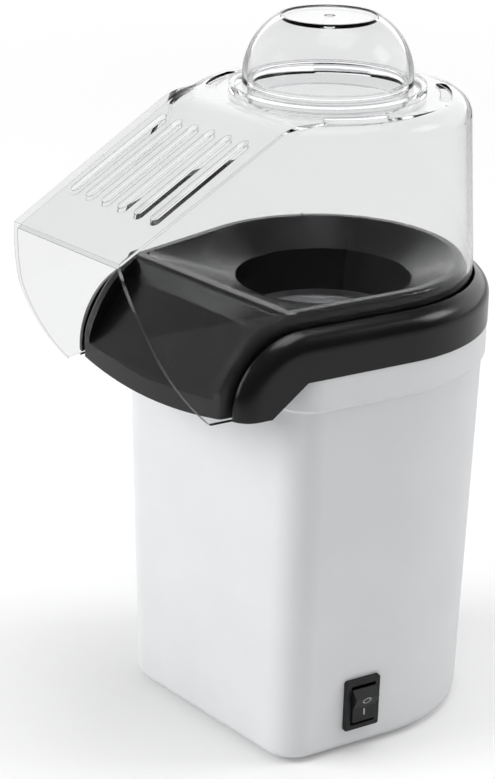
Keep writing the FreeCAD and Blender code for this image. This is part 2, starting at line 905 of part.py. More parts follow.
def hood():
    shell = hood_block(0).cut(hood_block(hood_wall))
    shell = shell.cut(side_prism(hood_front_room())).cut(side_prism(hood_seat_room()))
    collar = cylinder(hood_collar_outer, hood_top - hood_wall / 2, hood_top + hood_collar_height)
    shell = joined([shell, collar])
    collar_room = cylinder(hood_collar_outer - hood_wall, hood_top - 2 * hood_wall,
                           hood_top + hood_collar_height - hood_wall)
    shell = shell.cut(collar_room)
    shell = shell.cut(cylinder(hood_hole_radius, hood_top - cutter_reach, hood_top + cutter_reach))
    for index in range(hood_slot_count):
        shell = shell.cut(panel_slot((index - (hood_slot_count - 1) / 2) * hood_slot_pitch))
    for angle in hood_vent_angles:
        shell = shell.cut(arc_slot(angle))
    return shell


def dome_profile(inset):
    # Section of the dome from the axis out along the top disc and down the round side.
    radius = cup_dome_round - inset
    centre_r = cup_radius - cup_dome_round
    centre_z = cup_foot
    top_z = cup_top - inset
    rise = top_z - centre_z
    return radius, centre_r, centre_z, top_z, centre_r + math.sqrt(radius ** 2 - rise ** 2)


def dome_solid(inset, foot):
    radius, centre_r, centre_z, top_z, top_r = dome_profile(inset)
    half_rise = (top_z - centre_z) / 2
    side = Vector(centre_r + radius, 0, centre_z)
    middle = Vector(centre_r + math.sqrt(radius ** 2 - half_rise ** 2), 0, centre_z + half_rise)
    points = [Vector(top_r, 0, top_z), Vector(0, 0, top_z), Vector(0, 0, foot), Vector(side.x, 0, foot), side]
    edges = [line(a, b) for a, b in zip(points, points[1:])]
    edges.append(arc(side, middle, points[0]))
    return Part.Face(Part.Wire(edges)).revolve(Vector(0, 0, 0), up, 360)


def measuring_cup():
    rest = hood_top + hood_collar_height + fit_gap
    skirt_outer = hood_hole_radius - fit_gap
    solid = dome_solid(0, rest)
    skirt_bottom = rest - cup_skirt_depth
    solid = joined([solid, cylinder(skirt_outer, skirt_bottom, rest + overcut)])
    solid = solid.cut(dome_solid(cup_wall, rest + overcut))
    solid = solid.cut(cylinder(skirt_outer - cup_wall, skirt_bottom - overcut, rest + 2 * overcut))
    recess_floor = cup_top - cup_recess
    recess_radius = dome_profile(0)[-1] - cup_recess_edge
    solid = solid.cut(cylinder(recess_radius, recess_floor, cup_top + overcut))
    return solid.cut(cylinder(cup_dimple_radius, recess_floor - cup_dimple, cup_top))


def popping_chamber():
    # Spun cup with a hump in its floor, a flange at its mouth and louvres low in its wall.
    inner = chamber_radius - chamber_wall
    gutter = inner - chamber_gutter
    floor = chamber_bottom + chamber_wall
    hump_top = chamber_bottom + chamber_hump
    cup = turned_solid([
        (0, hump_top - chamber_wall, 0),
        (chamber_hump_radius, hump_top - chamber_wall, chamber_round),
        (gutter, chamber_bottom, chamber_round),
        (inner, chamber_bottom, chamber_round),
        (inner, chamber_top, 0),
        (chamber_flange, chamber_top, 0),
        (chamber_flange, chamber_top + chamber_wall, 0),
        (inner - chamber_wall, chamber_top + chamber_wall, 0),
        (inner - chamber_wall, floor, chamber_round - chamber_wall),
        (gutter, floor, chamber_round),
        (chamber_hump_radius, hump_top, chamber_round),
        (0, hump_top, 0),
    ])
    middle = chamber_bottom + louvre_rise + louvre_height / 2
    slot = box(cutter_reach, louvre_width, louvre_height, Vector(inner, 0, middle))
    for index in range(louvre_count):
        cup = cup.cut(turned(slot, index * 360 / louvre_count))
    return cup


def chamber_gasket():
    low = chamber_top + chamber_wall
    return tube(chamber_flange - gasket_inset, deck_hole_radius, low, low + gasket_thick)


def heater_housing():
    wall = tube(heater_radius, heater_radius - heater_wall, heater_bottom, chamber_top)
    flange_radius = heater_radius + heater_flange
    foot = tube(flange_radius, heater_radius - heater_wall, heater_bottom, heater_bottom + heater_wall)
    return joined([wall, foot])


def mica_boards():
    # Two boards that cross on the axis, each notched for half its height.
    half = heater_radius - heater_wall - fit_gap
    low = heater_bottom + mica_rise
    middle = low + mica_height / 2
    board = box(2 * half, mica_thick, mica_height, Vector(0, 0, middle))
    notch_height = mica_height / 2 + slip_gap
    notch = box(mica_thick + slip_gap, 2 * mica_thick, notch_height, Vector(0, 0, low + mica_height * 0.75))
    first = board.cut(notch)
    second = turned(board.cut(moved(notch, 0, 0, -mica_height / 2)), 90)
    channels = [coil_tube(coil_wire + fit_gap, z) for z in coil_layers]
    return group([piece.cut(channels) for piece in (first, second)])


def coil_tube(wire, z):
    # Flat spiral of half turns, each larger than the last by half a pitch.
    start = Vector(coil_inner, 0, z)
    side = 1
    edges = []
    for index in range(coil_half_turns):
        radius = coil_inner + index * coil_pitch / 2
        end = start - Vector(2 * side * radius, 0, 0)
        middle = (start + end) * 0.5 + Vector(0, side * radius, 0)
        edges.append(arc(start, middle, end))
        start = end
        side = -side
    first_point = Vector(coil_inner, 0, z)
    section = Part.Wire(Part.makeCircle(wire, first_point, Vector(0, 1, 0)))
    return Part.Wire(edges).makePipeShell([section], True, False)


def heater_coil():
    return group([coil_tube(coil_wire, z) for z in coil_layers])


def thermostat():
    # Disc thermostat with two blades, flat against the heater housing.
    reach = heater_radius + screw_gap
    out = Vector(1, 0, 0)
    can = Part.makeCylinder(thermostat_radius, thermostat_length, Vector(reach, 0, thermostat_height), out)
    length, thick, width = thermostat_blade
    blade_x = reach + thermostat_length + length / 2 - bite
    blades = [box(length, thick, width, Vector(blade_x, side * thermostat_blade_offset, thermostat_height))
              for side in (-1, 1)]
    return turned(joined([can] + blades), thermostat_angle)


def thermal_fuse():
    reach = heater_radius + fuse_radius + slip_gap
    body = cylinder(fuse_radius, thermostat_height, thermostat_height + fuse_length, reach)
    return turned(body, fuse_angle)


def column_points():
    return [polar(column_circle, angle) for angle in column_angles]


def bracket_screw_points():
    return [polar(bracket_screw_circle, angle) for angle in bracket_angles]


def fan_housing():
    wall_top = heater_bottom
    wall = tube(fan_wall_radius, fan_wall_radius - fan_wall, fan_bottom, wall_top)
    foot = cylinder(fan_flange, fan_bottom, fan_bottom + fan_plate)
    brim = tube(heater_radius + heater_flange, fan_wall_radius - bite, wall_top - fan_plate, wall_top)
    low = fan_bottom - overcut
    high = fan_bottom + fan_plate + overcut
    solid = joined([wall, foot, brim]).cut(cylinder(fan_inlet, low, high))
    for p in column_points() + bracket_screw_points():
        solid = solid.cut(screw_hole(p.x, p.y, low, high))
    return solid


def motor_bracket():
    # Disc on the motor's top with three arms up to the fan housing.
    low = motor_top
    high = low + bracket_thick
    pieces = [cylinder(bracket_disc, low, high)]
    arm_middle = Vector(bracket_screw_circle / 2, 0, low + bracket_thick / 2)
    arm = box(bracket_screw_circle, bracket_arm, bracket_thick, arm_middle)
    for p, angle in zip(bracket_screw_points(), bracket_angles):
        pieces.append(turned(arm, angle))
        pieces.append(cylinder(bracket_arm / 2, low, fan_bottom, p.x, p.y))
    bracket = joined(pieces).cut(cylinder(bush_radius + fit_gap, low - overcut, high + overcut))
    for p in bracket_screw_points():
        bracket = bracket.cut(screw_hole(p.x, p.y, low - overcut, fan_bottom + overcut))
    return bracket


def motor_can():
    can = cylinder(motor_radius, motor_bottom, motor_top)
    can = can.cut(cylinder(motor_radius - motor_wall, motor_bottom - overcut, motor_top - motor_wall))
    return can.cut(cylinder(bush_radius, motor_bottom, motor_top + overcut))


def motor_end_cap():
    low = motor_bottom - end_cap_thick
    cap = cylinder(motor_radius, low, motor_bottom)
    return cap.cut(cylinder(bush_radius, low + end_cap_floor, motor_bottom + overcut))


def motor_bushes():
    bore = shaft_radius + run_gap
    upper = tube(bush_radius, bore, motor_top - bush_length, motor_top + bush_proud)
    low = motor_bottom - end_cap_thick + end_cap_floor
    lower = tube(bush_radius, bore, low, low + bush_length)
    return group([upper, lower])


def motor_magnets():
    outer = motor_radius - motor_wall
    low = (motor_bottom + motor_top - magnet_length) / 2
    ring = tube(outer, outer - magnet_thick, low, low + magnet_length)
    wedge = Part.makeCylinder(far, magnet_length, Vector(0, 0, low), up, magnet_arc)
    first = turned(ring.common(wedge), -magnet_arc / 2)
    return group([first, turned(first, 180)])


def motor_armature():
    middle = (motor_bottom + motor_top) / 2
    low = middle - armature_length / 2
    core = tube(armature_radius, shaft_radius, low, low + armature_length)
    slot_middle = Vector(armature_radius, 0, middle)
    slot = box(2 * armature_slot_depth, armature_slot_width, 2 * armature_length, slot_middle)
    for index in range(armature_slots):
        core = core.cut(turned(slot, index * 360 / armature_slots))
    return core


def motor_shaft():
    return cylinder(shaft_radius, shaft_bottom, shaft_top)


def impeller():
    # Hub, a back plate on top and curved blades hanging under it.
    hub = cylinder(impeller_hub, impeller_bottom, impeller_top)
    plate = cylinder(impeller_radius, impeller_top - impeller_plate, impeller_top)
    blade_top = impeller_top - bite
    ring = tube(blade_curve, blade_curve - blade_thick, impeller_bottom, blade_top)
    ring = moved(ring, *blade_shift)
    span = tube(impeller_radius - blade_inset, blade_inner, impeller_bottom, blade_top)
    front_half = box(far, far, far, Vector(far / 2, far / 2, impeller_bottom))
    blade = ring.common(span).common(front_half)
    blades = [turned(blade, index * 360 / blade_count) for index in range(blade_count)]
    wheel = joined([hub, plate] + blades)
    return wheel.cut(cylinder(shaft_radius, 0, shaft_top))


def rectifier_board():
    high = motor_bottom - end_cap_thick - slip_gap
    return cylinder(board_radius, high - board_thick, high)


def rectifier_diodes():
    # A row of diodes lying under the board.
    z = motor_bottom - end_cap_thick - 2 * slip_gap - board_thick - diode_radius
    along = Vector(0, 1, 0)
    diodes = []
    for index in range(diode_count):
        x = (index - (diode_count - 1) / 2) * diode_pitch
        diodes.append(Part.makeCylinder(diode_radius, diode_length, Vector(x, -diode_length / 2, z), along))
    return group(diodes)


def intake_slot(index):
    # One of the air slots, shorter towards the ends of the row.
    y = (index - (intake_slots - 1) / 2) * intake_pitch
    length = intake_length * math.sqrt(1 - (y / intake_reach) ** 2)
    return box(length, intake_width, 3 * plate_thick, Vector(0, y, plate_bottom))


def base_plate():
    inset = body_ledge_width + fit_gap
    plate = prism(body_radius - inset, body_front - inset, body_corner - inset, plate_bottom, plate_top)
    seat = plate_top - overcut
    columns = [cylinder(column_radius, seat, fan_bottom, p.x, p.y) for p in column_points()]
    posts = [cylinder(clamp_post, seat, clamp_height, x, clamp_back) for x in (-clamp_half, clamp_half)]
    solid = joined([plate] + columns + posts)
    for index in range(intake_slots):
        solid = solid.cut(intake_slot(index))
    for x, y in base_posts:
        solid = solid.cut(screw_hole(x, y, 0, plate_top + overcut))
        solid = solid.cut(cylinder(screw_head + fit_gap, 0, plate_bottom + screw_recess, x, y))
    for x, y in feet:
        solid = solid.cut(cylinder(foot_stem + run_gap, 0, plate_top + overcut, x, y))
    for p in column_points():
        solid = solid.cut(screw_hole(p.x, p.y, fan_bottom - column_hole_depth, fan_bottom + overcut))
    for x in (-clamp_half, clamp_half):
        solid = solid.cut(screw_hole(x, clamp_back, plate_top + overcut, clamp_height + overcut))
    return solid


def rubber_feet():
    pads = []
    for x, y in feet:
        pad = cylinder(foot_radius, 0, plate_bottom, x, y)
        stem = cylinder(foot_stem, plate_bottom - bite, plate_top + foot_stem_proud, x, y)
        pads.append(joined([pad, stem]))
    return group(pads)


def base_screws():
    head = plate_bottom + screw_recess
    return group([screw(x, y, head, base_screw_length, True) for x, y in base_posts])


def housing_screws():
    head = fan_bottom + fan_plate
    return group([screw(p.x, p.y, head, housing_screw_length, False) for p in column_points()])


def bracket_screws():
    length = fan_bottom + fan_plate - motor_top
    return group([screw(p.x, p.y, motor_top, length, True) for p in bracket_screw_points()])


def deck_screws():
    head = bezel_ledge_top - bezel_ledge_thick
    length = bezel_ledge_thick + deck_screw_bite
    return group([screw(p.x, p.y, head, length, True) for p in deck_screw_points()])


def cord_inlet():
    # Gland with a flange outside the wall and a nut inside it.
    wall = body_radius_at(inlet_height)
    face = wall + inlet_face_gap
    nut_face = wall - body_wall - inlet_nut_gap
    back = face + inlet_flange_thick - inlet_length - overcut
    out = Vector(0, 1, 0)
    flange = Part.makeCylinder(inlet_flange, inlet_flange_thick, Vector(0, face, inlet_height), out)
    neck = Part.makeCylinder(inlet_neck, inlet_length, Vector(0, back, inlet_height), out)
    nut_start = Vector(0, nut_face - inlet_flange_thick, inlet_height)
    nut = Part.makeCylinder(inlet_flange, inlet_flange_thick, nut_start, out)
    bore_start = Vector(0, back - overcut, inlet_height)
    bore = Part.makeCylinder(inlet_hole, 2 * inlet_length, bore_start, out)
    return joined([flange, neck, nut]).cut(bore)


def cord_clamp():
    width, depth, height = clamp_bar
    bar = box(width, depth, height, Vector(0, clamp_back, clamp_height + height / 2))
    for x in (-clamp_half, clamp_half):
        bar = bar.cut(screw_hole(x, clamp_back, clamp_height - overcut, clamp_height + height + overcut))
    return bar


def clamp_screws():
    head = clamp_height + clamp_bar[2]
    return group([screw(x, clamp_back, head, clamp_screw_length, False) for x in (-clamp_half, clamp_half)])


def switch_housing():
    # Bezel outside the wall and an open box inside it, with a bore for the rocker's pins.
    flange = box(switch_width, switch_tall, switch_bezel, Vector(0, 0, switch_bezel / 2))
    corners = [e for e in flange.Edges if e.BoundBox.ZLength > switch_bezel - tiny]
    flange = flange.makeFillet(switch_corner, corners)
    front_edges = [e for e in flange.Edges if e.BoundBox.ZMin > switch_bezel - tiny]
    flange = flange.makeFillet(switch_edge_round, front_edges)
    shell_height = switch_depth + overcut
    shell = box(switch_body_width, switch_body_tall, shell_height, Vector(0, 0, overcut - shell_height / 2))
    room_low = switch_floor - switch_depth
    room_high = switch_bezel + overcut
    room_middle = Vector(0, 0, (room_low + room_high) / 2)
    room_tall = 2 * (rocker_radius + fit_gap)
    room = box(rocker_width + 2 * fit_gap, room_tall, room_high - room_low, room_middle)
    bore_half = switch_body_width / 2 - switch_pin_wall
    bore_start = Vector(-bore_half, 0, -rocker_pivot)
    bore = Part.makeCylinder(rocker_pin + run_gap, 2 * bore_half, bore_start, Vector(1, 0, 0))
    return on_wall(joined([flange, shell]).cut(room).cut(bore))


def rocker():
    # Lever with a shallow vee face, turning on two pins.
    half = rocker_width / 2
    pivot = -rocker_pivot
    end_turn = math.radians(rocker_end_angle)
    end_y = rocker_radius * math.cos(end_turn)
    end_z = pivot + rocker_radius * math.sin(end_turn)
    face_z = switch_bezel + rocker_face_rise
    tip_z = face_z + end_y * math.tan(math.radians(rocker_vee))
    tip_y = math.sqrt(rocker_radius ** 2 - (tip_z - pivot) ** 2)
    foot_z = pivot - rocker_foot_drop
    points = [
        Vector(-half, 0, face_z),
        Vector(-half, tip_y, tip_z),
        Vector(-half, end_y, end_z),
        Vector(-half, rocker_foot_half, foot_z),
        Vector(-half, -rocker_foot_half, foot_z),
        Vector(-half, -end_y, end_z),
        Vector(-half, -tip_y, tip_z),
    ]
    edges = [line(a, b) for a, b in zip(points, points[1:] + points[:1])]
    lever = Part.Face(Part.Wire(edges)).extrude(Vector(rocker_width, 0, 0))
    pin_half = switch_body_width / 2 - switch_pin_wall - fit_gap
    pin = Part.makeCylinder(rocker_pin, 2 * pin_half, Vector(-pin_half, 0, pivot), Vector(1, 0, 0))
    lever = joined([lever, pin])
    lever.rotate(Vector(0, 0, pivot), Vector(1, 0, 0), rocker_tilt)
    return on_wall(lever)


def switch_terminals():
    middle = -switch_depth - terminal_length / 2
    blades = [box(terminal_width, terminal_thick, terminal_length, Vector(0, side * terminal_offset, middle))
              for side in (-1, 1)]
    return on_wall(group(blades))


makers = (
    body_shell, base_plate, rubber_feet, base_screws, top_bezel, deck, deck_screws,
    popping_chamber, chamber_gasket, heater_housing, mica_boards, heater_coil, thermostat, thermal_fuse,
    fan_housing, housing_screws, motor_bracket, bracket_screws, motor_can, motor_end_cap, motor_bushes,
    motor_magnets, motor_armature, motor_shaft, impeller, rectifier_board, rectifier_diodes,
    switch_housing, rocker, switch_terminals, cord_inlet, cord_clamp, clamp_screws, hood, measuring_cup,
)

# The frame's origin is the middle of the whole outline on the table.
axis_back = (hood_front - bezel_radius) / 2

os.makedirs("parts", exist_ok=True)
for maker in makers:
    piece = maker()
    piece.translate(Vector(0, axis_back, 0))
    piece.exportStep("parts/%s.step" % maker.__name__)
    extent = piece.BoundBox
    print(maker.__name__, piece.isValid(), len(piece.Solids), round(piece.Volume), extent)
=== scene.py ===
import json
import math

import bmesh
import bpy
from mathutils import Matrix, Vector


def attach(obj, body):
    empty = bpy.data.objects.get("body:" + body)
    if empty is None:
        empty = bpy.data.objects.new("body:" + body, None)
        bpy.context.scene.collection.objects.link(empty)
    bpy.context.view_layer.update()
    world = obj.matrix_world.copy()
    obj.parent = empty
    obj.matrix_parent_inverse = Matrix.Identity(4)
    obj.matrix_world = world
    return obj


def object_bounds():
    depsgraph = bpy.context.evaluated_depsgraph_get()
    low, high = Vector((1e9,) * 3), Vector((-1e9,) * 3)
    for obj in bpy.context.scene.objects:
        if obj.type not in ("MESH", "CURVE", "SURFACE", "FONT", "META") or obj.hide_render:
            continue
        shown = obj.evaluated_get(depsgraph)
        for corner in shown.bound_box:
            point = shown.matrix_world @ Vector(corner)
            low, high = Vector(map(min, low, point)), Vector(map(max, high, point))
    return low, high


# Hot-air popcorn maker. Lengths are metres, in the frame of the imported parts.

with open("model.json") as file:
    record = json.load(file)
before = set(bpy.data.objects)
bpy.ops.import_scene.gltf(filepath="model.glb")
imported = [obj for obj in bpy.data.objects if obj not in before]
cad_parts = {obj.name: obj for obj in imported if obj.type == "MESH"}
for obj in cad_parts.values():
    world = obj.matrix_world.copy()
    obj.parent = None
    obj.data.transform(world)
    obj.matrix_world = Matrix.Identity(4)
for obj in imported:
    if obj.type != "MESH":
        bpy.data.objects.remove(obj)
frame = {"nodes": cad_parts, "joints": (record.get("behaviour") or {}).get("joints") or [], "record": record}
cad_low, cad_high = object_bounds()
nodes = frame["nodes"]
joints = {joint["name"]: joint for joint in frame["joints"]}
upward = Vector((0, 0, 1))
looks = {}

# Camera
camera_place = Vector((0.58367, -0.49948, 0.42992))
camera_right = Vector((0.6398, 0.7684, 0.0127))
camera_up = Vector((-0.2869, 0.2235, 0.9315))
camera_back = Vector((0.713, -0.5996, 0.3635))
camera_lens = 102.0
camera_sensor = 36.0

# Stage
floor_half = 6.0
floor_colour = (0.82, 0.82, 0.82)
floor_speck = 0.99
floor_patch = 0.4
floor_surface = {"Roughness": 0.9, "Specular IOR Level": 0.1, "Emission Color": (1, 1, 1, 1)}
floor_lift_near = 0.15
floor_lift_far = 0.58
floor_near = 0.13
floor_far = 1.4
world_light = 0.315
backdrop_side = (-0.765, 0.643, 0)
backdrop_light = 1.6
room_light = 0.09
ceiling_light = 0.2
ceiling_fade = (0.45, 0.7)
backdrop_fade = (-0.1, 0.5)

# Lamps
key_place = (-0.7, -1.2, 0.75)
key_size = 0.9
key_power = 14.6
top_place = (0.15, 0.1, 1.3)
top_size = 0.7
top_power = 7.0
rim_place = (0.75, 1.0, 0.95)
rim_size = 0.5
rim_power = 5.2

# Relief and gloss shared by the looks
cloud_range = (0.3, 0.7)
bevel_samples = 4
grain_strength = 0.25
gloss_spread = (0.9, 1.12)
metal_patch = 0.015
metal_edge_round = 0.0002
line_strength = 0.3
line_spread = (0.75, 1.3)
mottle_strength = 0.3
mottle_depth = 0.00005
mottle_gloss = 0.85

# Clear plastic
clear_patch = 0.05
clear_gloss = (0.015, 0.035)
clear_gloss_patch = 0.02
clear_surface = {"Transmission Weight": 1.0, "IOR": 1.1, "Coat Weight": 0.1, "Coat Roughness": 0.03}
clear_wave = 0.03
clear_wave_strength = 0.1
clear_wave_depth = 0.0001
clear_shade = (0.93, 0.93, 0.935)
# Painted shade: a darker tint along the clear plastic's sharp edges, standing in for the dark lines that
# refraction draws there.
clear_edge_painted_shade = (0.28, 0.28, 0.29)
clear_edge_reach = 0.0008
clear_edge_samples = 8
clear_edge_range = (0.8, 0.98)

# Nodes with a look of their own: the measuring cup wears a copy of the clear plastic with a darker tint,
# which is painted shade.
own_looks = {"measuring_cup": "cup_shaded_clear_plastic"}

# Marks on the switch
mark_reach = 0.0028
mark_thick = 0.00006
ring_radius = 0.00155
ring_stroke = 0.00022
bar_half_width = 0.0003
bar_half_height = 0.0014
wall_lean = math.radians(1.66)
ray_start = 0.02


def start_material(name):
    material = bpy.data.materials.new(name)
    material.use_nodes = True
    looks[name] = material
    tree = material.node_tree
    return tree, tree.nodes["Principled BSDF"]


def set_inputs(node, values):
    for name, value in values.items():
        node.inputs[name].default_value = value


def noise(tree, size, detail=3.0, stretch=(1, 1, 1)):
    # Cloudy noise whose patches are about size across, narrowed by stretch.
    source = tree.nodes.new("ShaderNodeTexCoord")
    mapping = tree.nodes.new("ShaderNodeMapping")
    mapping.inputs["Scale"].default_value = stretch
    tree.links.new(source.outputs["Object"], mapping.inputs["Vector"])
    node = tree.nodes.new("ShaderNodeTexNoise")
    set_inputs(node, {"Scale": 1 / size, "Detail": detail})
    tree.links.new(mapping.outputs["Vector"], node.inputs["Vector"])
    return node.outputs["Fac"]


def remap(tree, source, low, high, source_low=cloud_range[0], source_high=cloud_range[1]):
    node = tree.nodes.new("ShaderNodeMapRange")
    set_inputs(node, {"From Min": source_low, "From Max": source_high, "To Min": low, "To Max": high})
    tree.links.new(source, node.inputs["Value"])
    return node.outputs["Result"]


def maths(tree, operation, first, second):
    # Math node over sockets or plain numbers.
    node = tree.nodes.new("ShaderNodeMath")
    node.operation = operation
    for socket, value in zip(node.inputs, (first, second)):
        if isinstance(value, bpy.types.NodeSocket):
            tree.links.new(value, socket)
        else:
            socket.default_value = value
    return node.outputs[0]


def colour_between(tree, factor, first, second):
    # Mix of two colours, each a socket or a plain colour.
    node = tree.nodes.new("ShaderNodeMix")
    node.data_type = "RGBA"
    factor_socket, first_socket, second_socket = node.inputs[0], node.inputs[6], node.inputs[7]
    for socket, colour in ((first_socket, first), (second_socket, second)):
        if isinstance(colour, bpy.types.NodeSocket):
            tree.links.new(colour, socket)
        else:
            socket.default_value = (*colour, 1)
    tree.links.new(factor, factor_socket)
    return node.outputs[2]


def add_bump(tree, shader, height, strength, depth, edge_round=0.0):
    # Fine relief, over edges that look slightly rounded.
    node = tree.nodes.new("ShaderNodeBump")
    set_inputs(node, {"Strength": strength, "Distance": depth})
    tree.links.new(height, node.inputs["Height"])
    if edge_round:
        edge = tree.nodes.new("ShaderNodeBevel")
        edge.samples = bevel_samples
        edge.inputs["Radius"].default_value = edge_round
        tree.links.new(edge.outputs["Normal"], node.inputs["Normal"])
    tree.links.new(node.outputs["Normal"], shader.inputs["Normal"])


def plastic(name, first, second, roughness, grain, depth, patch=0.03, edge_round=0.0004, specular=0.5):
    # Moulded plastic: faint cloudy tint, uneven gloss and a fine grain.
    tree, shader = start_material(name)
    cloud = remap(tree, noise(tree, patch), 0, 1)
    tree.links.new(colour_between(tree, cloud, first, second), shader.inputs["Base Color"])
    low, high = [roughness * share for share in gloss_spread]
    gloss = remap(tree, noise(tree, patch / 4), low, high)
    tree.links.new(gloss, shader.inputs["Roughness"])
    shader.inputs["Specular IOR Level"].default_value = specular
    add_bump(tree, shader, noise(tree, grain), grain_strength, depth, edge_round)


def metal(name, first, second, roughness, stretch, scratch=0.0012, depth=0.00002):
    # Metal with fine lines; stretch sets their direction.
    tree, shader = start_material(name)
    lines = noise(tree, scratch, 2.0, stretch)
    cloud = remap(tree, noise(tree, metal_patch), 0, 1)
    tree.links.new(colour_between(tree, cloud, first, second), shader.inputs["Base Color"])
    low, high = [roughness * share for share in line_spread]
    tree.links.new(remap(tree, lines, low, high), shader.inputs["Roughness"])
    shader.inputs["Metallic"].default_value = 1.0
    add_bump(tree, shader, lines, line_strength, depth, metal_edge_round)


def beside_edges(tree, reach):
    # 1 beside sharp edges, 0 elsewhere.
    rounded = tree.nodes.new("ShaderNodeBevel")
    rounded.samples = clear_edge_samples
    rounded.inputs["Radius"].default_value = reach
    flat = tree.nodes.new("ShaderNodeNewGeometry")
    match = tree.nodes.new("ShaderNodeVectorMath")
    match.operation = "DOT_PRODUCT"
    tree.links.new(rounded.outputs["Normal"], match.inputs[0])
    tree.links.new(flat.outputs["Normal"], match.inputs[1])
    return remap(tree, match.outputs["Value"], 1, 0, *clear_edge_range)


def clear_plastic(name, first, second):
    # Clear moulded plastic with painted shade darkening its tint along its edges, that lets lamps through to
    # what is behind it.
    tree, shader = start_material(name)
    cloud = remap(tree, noise(tree, clear_patch), 0, 1)
    tint = colour_between(tree, cloud, first, second)
    # Painted shade: the tint darkens beside sharp edges.
    tint_with_painted_edge_shade = colour_between(tree, beside_edges(tree, clear_edge_reach), tint, clear_edge_painted_shade)
    tree.links.new(tint_with_painted_edge_shade, shader.inputs["Base Color"])
    gloss = remap(tree, noise(tree, clear_gloss_patch), *clear_gloss)
    tree.links.new(gloss, shader.inputs["Roughness"])
    set_inputs(shader, clear_surface)
    add_bump(tree, shader, noise(tree, clear_wave), clear_wave_strength, clear_wave_depth)
    through = tree.nodes.new("ShaderNodeBsdfTransparent")
    through.inputs["Color"].default_value = (*clear_shade, 1)
    path = tree.nodes.new("ShaderNodeLightPath")
    lamp_or_fill = maths(tree, "MAXIMUM", path.outputs["Is Shadow Ray"], path.outputs["Is Diffuse Ray"])
    mix = tree.nodes.new("ShaderNodeMixShader")
    tree.links.new(lamp_or_fill, mix.inputs[0])
    tree.links.new(shader.outputs[0], mix.inputs[1])
    tree.links.new(through.outputs[0], mix.inputs[2])
    tree.links.new(mix.outputs[0], tree.nodes["Material Output"].inputs["Surface"])


def mineral(name, first, second, patch, roughness):
    # Mica, ceramic and ferrite: mottled and matt.
    tree, shader = start_material(name)
    mottle = remap(tree, noise(tree, patch, 6.0), 0, 1)
    tree.links.new(colour_between(tree, mottle, first, second), shader.inputs["Base Color"])
    gloss = remap(tree, noise(tree, patch / 3), roughness * mottle_gloss, roughness)
    tree.links.new(gloss, shader.inputs["Roughness"])
    add_bump(tree, shader, mottle, mottle_strength, mottle_depth)


def make_plastics():
    plastic("white_plastic", (0.80, 0.81, 0.825), (0.83, 0.84, 0.85), 0.34, 0.0005, 0.00002)
    plastic("black_plastic", (0.0045, 0.0045, 0.005), (0.0065, 0.0065, 0.007), 0.22, 0.0004, 0.00003,
            specular=0.33)
    plastic("rubber", (0.016, 0.016, 0.017), (0.026, 0.026, 0.027), 0.75, 0.0006, 0.00008, patch=0.008)
    plastic("gasket_silicone", (0.05, 0.05, 0.052), (0.07, 0.07, 0.072), 0.5, 0.0008, 0.00005)
    plastic("fan_plastic", (0.03, 0.03, 0.031), (0.045, 0.045, 0.046), 0.5, 0.0005, 0.00005)
    plastic("board", (0.24, 0.14, 0.05), (0.3, 0.19, 0.08), 0.5, 0.0006, 0.00004, patch=0.006)
    plastic("switch_plastic", (0.012, 0.012, 0.013), (0.019, 0.019, 0.02), 0.42, 0.0003, 0.00004,
            patch=0.01, edge_round=0.0002, specular=0.3)
    plastic("mark_print", (0.42, 0.42, 0.42), (0.52, 0.52, 0.52), 0.5, 0.0002, 0.00001,
            patch=0.001, edge_round=0.0)
    clear_plastic("clear_plastic", (0.892, 0.895, 0.897), (0.906, 0.909, 0.911))
    # Painted shade: the cup's copy of the clear plastic is tinted darker than the hood's.
    clear_plastic("cup_shaded_clear_plastic", (0.885, 0.887, 0.89), (0.9, 0.902, 0.905))


def make_metals():
    metal("chamber_aluminium", (0.72, 0.72, 0.73), (0.8, 0.8, 0.8), 0.3, (6, 6, 240), 0.2)
    metal("sheet_steel", (0.5, 0.5, 0.52), (0.62, 0.62, 0.63), 0.35, (1, 1, 12))
    metal("screw_steel", (0.48, 0.48, 0.5), (0.6, 0.6, 0.6), 0.28, (1, 1, 6))
    metal("heater_wire", (0.22, 0.19, 0.17), (0.34, 0.3, 0.28), 0.45, (1, 1, 1))
    metal("motor_iron", (0.2, 0.2, 0.21), (0.3, 0.3, 0.3), 0.45, (1, 1, 30))
    metal("brass", (0.72, 0.5, 0.2), (0.8, 0.6, 0.28), 0.3, (1, 1, 6))


def make_minerals():
    mineral("mica", (0.5, 0.42, 0.28), (0.68, 0.6, 0.45), 0.004, 0.5)
    mineral("fuse_ceramic", (0.74, 0.7, 0.6), (0.82, 0.78, 0.7), 0.003, 0.6)
    mineral("magnet", (0.05, 0.05, 0.052), (0.08, 0.08, 0.082), 0.002, 0.6)


def dress_nodes():
    # Each node wears its slot's look, unless it has one of its own.
    for row in frame["record"]["subparts"]:
        look = looks[own_looks.get(row["node"], row["material_slot"])]
        for place in nodes[row["node"]].material_slots:
            place.material = look


def rocker_face(reach):
    # Frame on the rocker's face, reach up the wall from its pivot: X along the wall, Z out of the face.
    joint = joints["rocker_tilt"]
    pivot = Vector(joint["pos_m"])
    along = Vector(joint["axis"]).normalized()
    level_out = along.cross(upward)
    out = level_out * math.cos(wall_lean) - upward * math.sin(wall_lean)
    rise = out.cross(along)
    _, point, normal, _ = nodes["rocker"].ray_cast(pivot + rise * reach + out * ray_start, -out)
    turn = Matrix((along, normal.cross(along), normal)).transposed().to_4x4()
    return Matrix.Translation(point) @ turn


def add_piece(name, mesh_maker, place, look, body):
    mesh = bpy.data.meshes.new(name)
    shape = bmesh.new()
    mesh_maker(shape)
    shape.transform(place)
    shape.to_mesh(mesh)
    shape.free()
    mesh.materials.append(look)
    piece = bpy.data.objects.new(name, mesh)
    bpy.context.scene.collection.objects.link(piece)
    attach(piece, body)
    return piece


